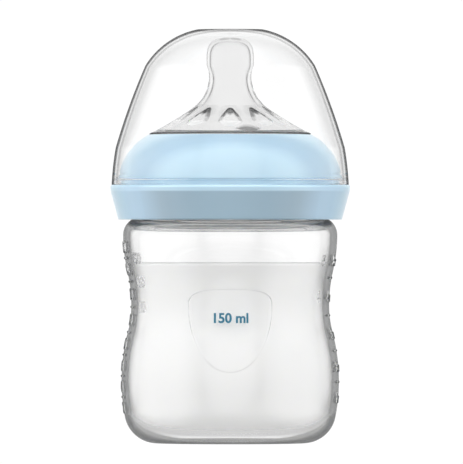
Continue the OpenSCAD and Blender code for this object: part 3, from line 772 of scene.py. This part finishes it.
base = [teatOutside[-1], (skirtR, skirtZ), (grooveR, skirtZ), (grooveR, flangeZ + teat["flangeT"]),
        (flangeR, flangeZ + teat["flangeT"]), (flangeR, flangeZ), (plugR, flangeZ), (plugR, flangeZ - 1.6),
        (plugR - 1.6, flangeZ - 1.6), (coneInnerR, flangeZ + 1), teatInside[-1]]
base = softCorners([teatOutside[-2]] + base + [teatInside[-2]], 0.12)
teatOutline = np.concatenate([
    spaced(teatOutside[:-1], 0.3)[:-1],
    spaced(base, 0.35)[:-1],
    spaced(teatInside[:-1][::-1], 0.25),
])
teatPiece = spin("siliconeTeat", teatOutline[::-1], evenAngles(540), silicone, teatRelief, closed=True,
                 mask=teatMask)
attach(teatPiece, "teat")
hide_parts("teat")
print("teat made, tip at", round(nippleTop, 2), "mm")


ringFoot = shoulderTop - ring["footDrop"]
ledgeZ = ringFoot + ring["bandH"]
domeEdgeR = ring["r"] - ring["ledgeW"]
sleeveR = crestR + ring["threadClear"]
sleeveOutR = sleeveR + ring["wall"]
pocketR = domeEdgeR - ring["grooveD"] - ring["wall"]
footR = ring["r"] - ring["taper"]
dome = bulgedArc((domeEdgeR, ledgeZ + ring["grooveH"] + 0.3), (ring["lipR"] + 1.4, lipTop), ring["domeArc"],
                 40)
domeIn = [p for p in offsetLine(dome, -ring["wall"]) if sleeveOutR + 0.3 < p[0] < pocketR]
threadFlank = (bottle["threadRoot"] - bottle["threadCrest"]) / 2
nutDrop = (bottle["threadRoot"] / 2 - threadFlank / bottle["threadDepth"] * ring["threadClear"]
           + ring["nutCrest"] / 2 + ring["nutClear"])


def ringRelief(theta, r, z, normal):
    onSleeve = (normal[:, :1] < -0.9) & (np.abs(r - sleeveR) < 0.05)
    thread = threadRelief(theta, r, z, threadFoot - nutDrop, ring["nutFrom"], ring["nutTurns"],
                          ring["nutRoot"],
                          ring["nutCrest"], bottle["threadDepth"])
    return np.where(onSleeve, thread, 0)


grooveInR, bandInR = domeEdgeR - ring["grooveD"], footR - ring["wall"]
pocketTop, sleeveFoot = ledgeZ - ring["wall"], shoulderTop + 0.7
ringCorners = softCorners([
    (bandInR + 0.4, ringFoot + 3), (bandInR, ringFoot), (footR, ringFoot), (ring["r"] - 0.15, ledgeZ - 2),
    (ring["r"], ledgeZ - 0.45), (ring["r"] - 0.25, ledgeZ), (grooveInR, ledgeZ),
    (grooveInR, ledgeZ + ring["grooveH"]), (domeEdgeR, ledgeZ + ring["grooveH"]), dome[0], dome[2]], 0.22)
lipCorners = softCorners([
    dome[-2], dome[-1], (ring["lipR"] + 0.3, lipTop), (ring["lipR"], lipTop - 0.3), (ring["lipR"], lipZ),
    (sleeveR - ring["lipCorner"], lipZ), (sleeveR, lipZ - ring["lipCorner"]), (sleeveR, lipZ - 2)], 0.2)
footCorners = softCorners([
    (sleeveR, shoulderTop + 1.6), (sleeveR, sleeveFoot), (sleeveOutR, sleeveFoot),
    (sleeveOutR, shoulderTop + 4)], 0.25)
pocketCorners = softCorners([
    domeIn[0], (pocketR, domeIn[0][1] - 1), (pocketR, pocketTop), (ring["r"] - ring["wall"] - 0.2, pocketTop),
    (bandInR + 0.4, ringFoot + 3)], 0.3)
ringOutline = np.concatenate([
    spaced(ringCorners, 0.3)[:-1],
    spaced(dome[2:-1], 0.6)[:-1],
    spaced(lipCorners, 0.3)[:-1],
    spaced([(sleeveR, lipZ - 2), (sleeveR, shoulderTop + 1.6)], 0.22)[:-1],
    spaced(footCorners, 0.4)[:-1],
    spaced([(sleeveOutR, shoulderTop + 4)]
           + softCorners([(sleeveOutR, shoulderTop + 5), domeIn[-1], domeIn[-3]], 0.3)
           + domeIn[::-1][3:] + pocketCorners, 0.8)[:-1],
])
ringPiece = spin("screwRing", ringOutline, evenAngles(360), bluePp, ringRelief, closed=True)
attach(ringPiece, "ring")
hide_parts("screw_ring")
print("screw ring made")


cap = {"wall": 1.3, "topT": 1.5, "gap": 0.7, "creaseR": 26.1, "creaseDrop": 11.1, "footH": 11.4,
       "flatR": 10.0,
       "crownArc": 24.5, "coneArc": 200.0, "footArc": 90.0, "footLean": 0.11, "snapClear": 0.15, "inset": 0.4}
capFootZ = ledgeZ + touch
capTop = nippleTop + cap["gap"] + cap["topT"]
capFootR = ring["r"] - cap["inset"]
capBreak = (capFootR - cap["footH"] * cap["footLean"], capFootZ + cap["footH"])
capRoof = capTop - cap["topT"]
capCrease = (cap["creaseR"], capTop - cap["creaseDrop"])
capLine = (bulgedArc((capFootR, capFootZ), capBreak, cap["footArc"])
           + bulgedArc(capBreak, capCrease, cap["coneArc"])[1:]
           + bulgedArc(capCrease, (cap["flatR"], capTop), cap["crownArc"], 40)[1:] + [(0, capTop)])
capInner = [(r, min(z, capRoof)) for r, z in offsetLine(capLine[:-1], -cap["wall"])]
capInner = [p for p in capInner if p[1] < capRoof - 1e-6] + [(cap["flatR"] - 1.2, capRoof), (0, capRoof)]
snapR = domeEdgeR + cap["snapClear"]
snapTopR = capInner[0][0] - 0.08
capOutline = np.concatenate([
    spaced(capLine[::-1], 0.45)[:-1],
    spaced(softCorners([capLine[0], (capFootR - 0.1, capFootZ), (snapR + 0.3, capFootZ),
                        (snapR, capFootZ + 0.3),
                        (snapR, capFootZ + 1.3), (capInner[0][0], capFootZ + 1.9), (snapTopR, capFootZ + 3)],
                       0.15), 0.2)[:-1],
    spaced([(snapTopR, capFootZ + 3)] + [p for p in capInner if p[1] > capFootZ + 3], 0.5),
])
capPiece = spin("domeCap", capOutline[::-1], evenAngles(360), clearPp)
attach(capPiece, "cap")
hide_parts("dome_cap")
print("dome cap made")


# the font's capitals are 0.7 of its size tall
label = {"text": "150 ml", "height": 2.9, "z": 38.6, "lift": 0.03, "bold": 0.13, "capShare": 0.7}
textCurve = bpy.data.curves.new("capacityPrint", "FONT")
textCurve.body = label["text"]
textCurve.align_x = "CENTER"
textCurve.align_y = "CENTER"
textCurve.size = label["height"] / label["capShare"] * mm
textCurve.resolution_u = 6
textCurve.offset = label["bold"] * mm
textObject = bpy.data.objects.new("capacityPrintText", textCurve)
bpy.context.collection.objects.link(textObject)
bpy.context.view_layer.update()
letters = bpy.data.meshes.new_from_object(textObject.evaluated_get(bpy.context.evaluated_depsgraph_get()))
bpy.data.objects.remove(textObject)
for v in letters.vertices:
    z = label["z"] + v.co.y / mm
    r = padR(z) + label["lift"]
    turn = v.co.x / mm / r - math.pi / 2
    v.co = (r * math.cos(turn) * mm, r * math.sin(turn) * mm, z * mm)
letters.materials.clear()
letters.materials.append(tealPrint)
printPiece = bpy.data.objects.new("capacityPrint", letters)
bpy.context.collection.objects.link(printPiece)
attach(printPiece, "bottle")
print("print made")


studio = {"distance": 4.0, "eyeZ": 0.06508, "eyeX": 0.0004, "mmPerPixel": 0.3082, "imageH": 464,
          "screen": 1.03, "screenInner": 14.0, "screenOuter": 42.0, "tall": 0.45, "air": 0.25, "below": 0.68,
          "belowFull": -0.3, "horizon": 0.1, "floorGrey": 0.42, "fibre": 0.02, "floorReach": 20,
          "underGlow": 0.36,
          "glowR": 0.05, "sensor": 36, "clipEnd": 40}
# soft lights: direction as degrees from straight behind the bottle (right is positive) and height in
# degrees, the radii where each starts and is full, and its strength over the air's
lights = {
    "left": {"around": -99, "up": 3, "outer": 55, "inner": 15, "strength": 2.1},
    "right": {"around": 100, "up": 3, "outer": 52, "inner": 12, "strength": 1.95},
    "top": {"around": 180, "up": 68, "outer": 50, "inner": 12, "strength": 1.6},
    "front": {"around": 180, "up": 10, "outer": 38, "inner": 6, "strength": 1.5},
    "leftEdge": {"around": -53, "up": 4, "outer": 14, "inner": 5, "strength": 0.9},
    "rightEdge": {"around": 53, "up": 4, "outer": 14, "inner": 5, "strength": 0.8},
}

# white paper under the bottle: to the camera it is as bright as the sweep behind, to the bottle it is the
# dim half of the room with a little light coming up through it from a lamp below
floorMaterial, floorTree = newMaterial("whitePaper")
where = addNode(floorTree, "ShaderNodeTexCoord")
fibre = addNode(floorTree, "ShaderNodeTexNoise", {"Scale": 400.0}, {"Vector": where.outputs["Object"]})
grey = addNode(floorTree, "ShaderNodeMapRange", {
    "To Min": studio["floorGrey"] * (1 - studio["fibre"]),
    "To Max": studio["floorGrey"] * (1 + studio["fibre"])},
    {"Value": fibre.outputs["Fac"]})
paper = addNode(floorTree, "ShaderNodeBsdfDiffuse", None, {"Color": grey.outputs["Result"]})
away = addNode(floorTree, "ShaderNodeVectorMath", {"operation": "LENGTH"}, {0: where.outputs["Object"]})
underBottle = addNode(floorTree, "ShaderNodeMapRange", {
    "interpolation_type": "SMOOTHSTEP", "From Min": studio["glowR"], "From Max": studio["glowR"] / 2,
    "To Max": studio["underGlow"]}, {"Value": away.outputs["Value"]})
fromBelow = addNode(floorTree, "ShaderNodeEmission", None, {"Strength": underBottle.outputs["Result"]})
lit = addNode(floorTree, "ShaderNodeAddShader", None,
              {0: paper.outputs["BSDF"], 1: fromBelow.outputs["Emission"]})
glow = addNode(floorTree, "ShaderNodeEmission", {"Strength": studio["screen"]})
path = addNode(floorTree, "ShaderNodeLightPath")
floorMix = addNode(floorTree, "ShaderNodeMixShader", None, {
    0: path.outputs["Is Camera Ray"], 1: lit.outputs["Shader"], 2: glow.outputs["Emission"]})
addNode(floorTree, "ShaderNodeOutputMaterial", None, {"Surface": floorMix.outputs["Shader"]})
reach = studio["floorReach"]
floorPiece = newObject("studioFloor", np.array([(-reach, -reach, 0), (reach, -reach, 0), (reach, reach, 0),
                       (-reach, reach, 0)]) / mm, [np.array([[0, 1, 2, 3]])], floorMaterial, False)
floorPiece.visible_glossy = False
floorPiece.visible_transmission = False

world = bpy.data.worlds.new("studioAir")
bpy.context.scene.world = world
world.use_nodes = True
air = world.node_tree
air.nodes.clear()
skyWay = addNode(air, "ShaderNodeTexCoord").outputs["Generated"]
height = addNode(air, "ShaderNodeSeparateXYZ", None, {"Vector": skyWay})
tall = addNode(air, "ShaderNodeMapRange", {
    "From Min": -studio["horizon"], "From Max": studio["horizon"], "To Min": 1.0, "To Max": studio["tall"]},
    {"Value": height.outputs["Z"]})
scale = addNode(air, "ShaderNodeCombineXYZ", {"X": 1.0, "Y": 1.0}, {"Z": tall.outputs["Result"]})
squashed = addNode(air, "ShaderNodeVectorMath", {"operation": "MULTIPLY"},
                   {0: skyWay, 1: scale.outputs["Vector"]})
behind = addNode(air, "ShaderNodeVectorMath", {"operation": "NORMALIZE"}, {0: squashed.outputs["Vector"]})
axes = addNode(air, "ShaderNodeSeparateXYZ", None, {"Vector": behind.outputs["Vector"]})
screen = addNode(air, "ShaderNodeMapRange", {
    "interpolation_type": "SMOOTHSTEP", "From Min": math.cos(math.radians(studio["screenOuter"])),
    "From Max": math.cos(math.radians(studio["screenInner"])),
    "To Min": studio["air"], "To Max": studio["screen"]}, {"Value": axes.outputs["Y"]})
low = addNode(air, "ShaderNodeMapRange", {
    "interpolation_type": "SMOOTHSTEP", "From Min": 0.0, "From Max": studio["belowFull"],
    "To Max": studio["below"]}, {"Value": height.outputs["Z"]})
lower = addNode(air, "ShaderNodeMath", {"operation": "MAXIMUM"},
                {0: screen.outputs["Result"], 1: low.outputs["Result"]})
total = lower.outputs["Value"]
for light in lights.values():
    around, up = math.radians(light["around"]), math.radians(light["up"])
    toLight = (math.sin(around) * math.cos(up), math.cos(around) * math.cos(up), math.sin(up))
    near = addNode(air, "ShaderNodeVectorMath", {"operation": "DOT_PRODUCT", 1: toLight}, {0: skyWay})
    glowing = addNode(air, "ShaderNodeMapRange", {
        "interpolation_type": "SMOOTHSTEP", "From Min": math.cos(math.radians(light["outer"])),
        "From Max": math.cos(math.radians(light["inner"])), "To Max": light["strength"]},
        {"Value": near.outputs["Value"]})
    total = addNode(air, "ShaderNodeMath", {"operation": "ADD"},
                    {0: total, 1: glowing.outputs["Result"]}).outputs["Value"]
# seen past or straight through the clear pieces, no lamp is brighter than the sweep
seen = addNode(air, "ShaderNodeLightPath")
dimmed = addNode(air, "ShaderNodeMath", {"operation": "MINIMUM", 1: studio["screen"]}, {0: total})
through = addNode(air, "ShaderNodeMix", None, {
    0: seen.outputs["Is Transmission Ray"], 2: total, 3: dimmed.outputs["Value"]})
sweep = addNode(air, "ShaderNodeMix", {3: studio["screen"]}, {
    0: seen.outputs["Is Camera Ray"], 2: through.outputs[0]})
background = addNode(air, "ShaderNodeBackground", {"Color": (1, 1, 1, 1)}, {"Strength": sweep.outputs[0]})
addNode(air, "ShaderNodeOutputWorld", None, {"Surface": background.outputs["Background"]})

view = bpy.data.cameras.new("productCamera")
view.sensor_width = studio["sensor"]
view.lens = studio["sensor"] * studio["distance"] / (studio["imageH"] * studio["mmPerPixel"] * mm)
view.clip_end = studio["clipEnd"]
eye = bpy.data.objects.new("productCamera", view)
bpy.context.collection.objects.link(eye)
eye.location = (studio["eyeX"], -studio["distance"], studio["eyeZ"])
eye.rotation_euler = (math.pi / 2, 0, 0)
bpy.context.scene.camera = eye
bpy.context.scene.view_settings.view_transform = "Standard"
bpy.context.scene.view_settings.look = "None"
print("studio set")
